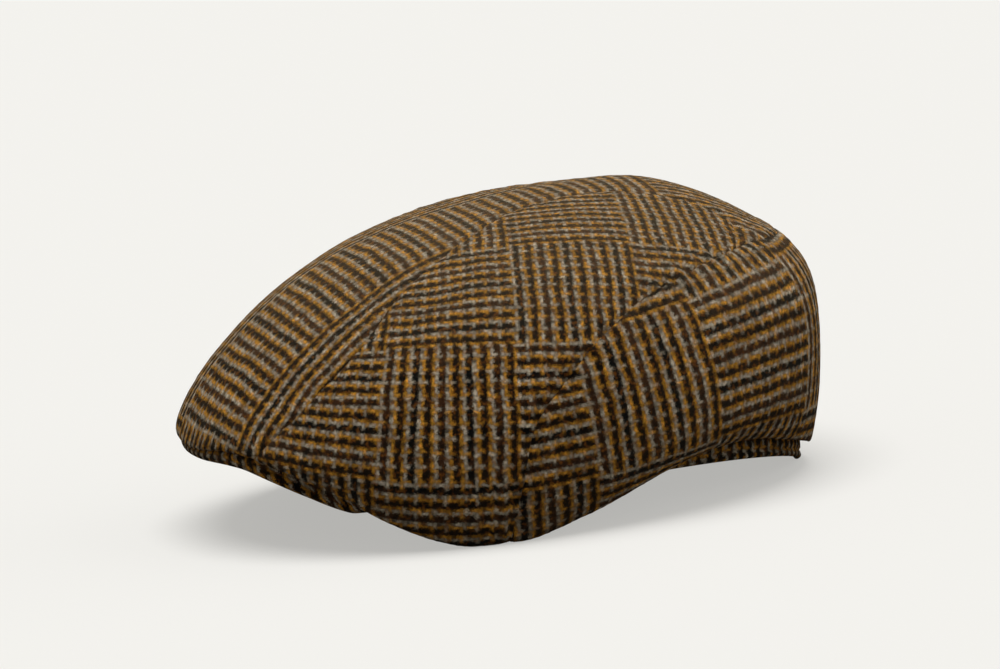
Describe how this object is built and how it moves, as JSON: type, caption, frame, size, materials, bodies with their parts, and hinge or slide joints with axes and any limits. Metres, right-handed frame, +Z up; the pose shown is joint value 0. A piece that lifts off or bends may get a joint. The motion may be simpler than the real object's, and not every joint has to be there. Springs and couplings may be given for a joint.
{
  "type": "flat cap",
  "caption": "Flat cap in chunky checked wool tweed, with a soft rounded crown that overhangs a short arched peak.",
  "frame": {"origin": "on the floor plane the cap rests on, under the middle of its overall length and width", "axes": "-Y towards the peak, +X towards the wearer's left, +Z up"},
  "size_m": [0.2232, 0.2774, 0.1297],
  "materials": {
    "tweed_top": "brushed wool tweed",
    "tweed_side_left": "brushed wool tweed",
    "tweed_side_right": "brushed wool tweed",
    "tweed_back": "brushed wool tweed",
    "tweed_peak": "brushed wool tweed",
    "tweed_band": "brushed wool tweed"
  },
  "bodies": {
    "root": {"top_panel": "tweed_top", "side_panel_left": "tweed_side_left", "side_panel_right": "tweed_side_right", "back_panel": "tweed_back", "peak": "tweed_peak", "rim_band": "tweed_band"}
  },
  "joints": []
}
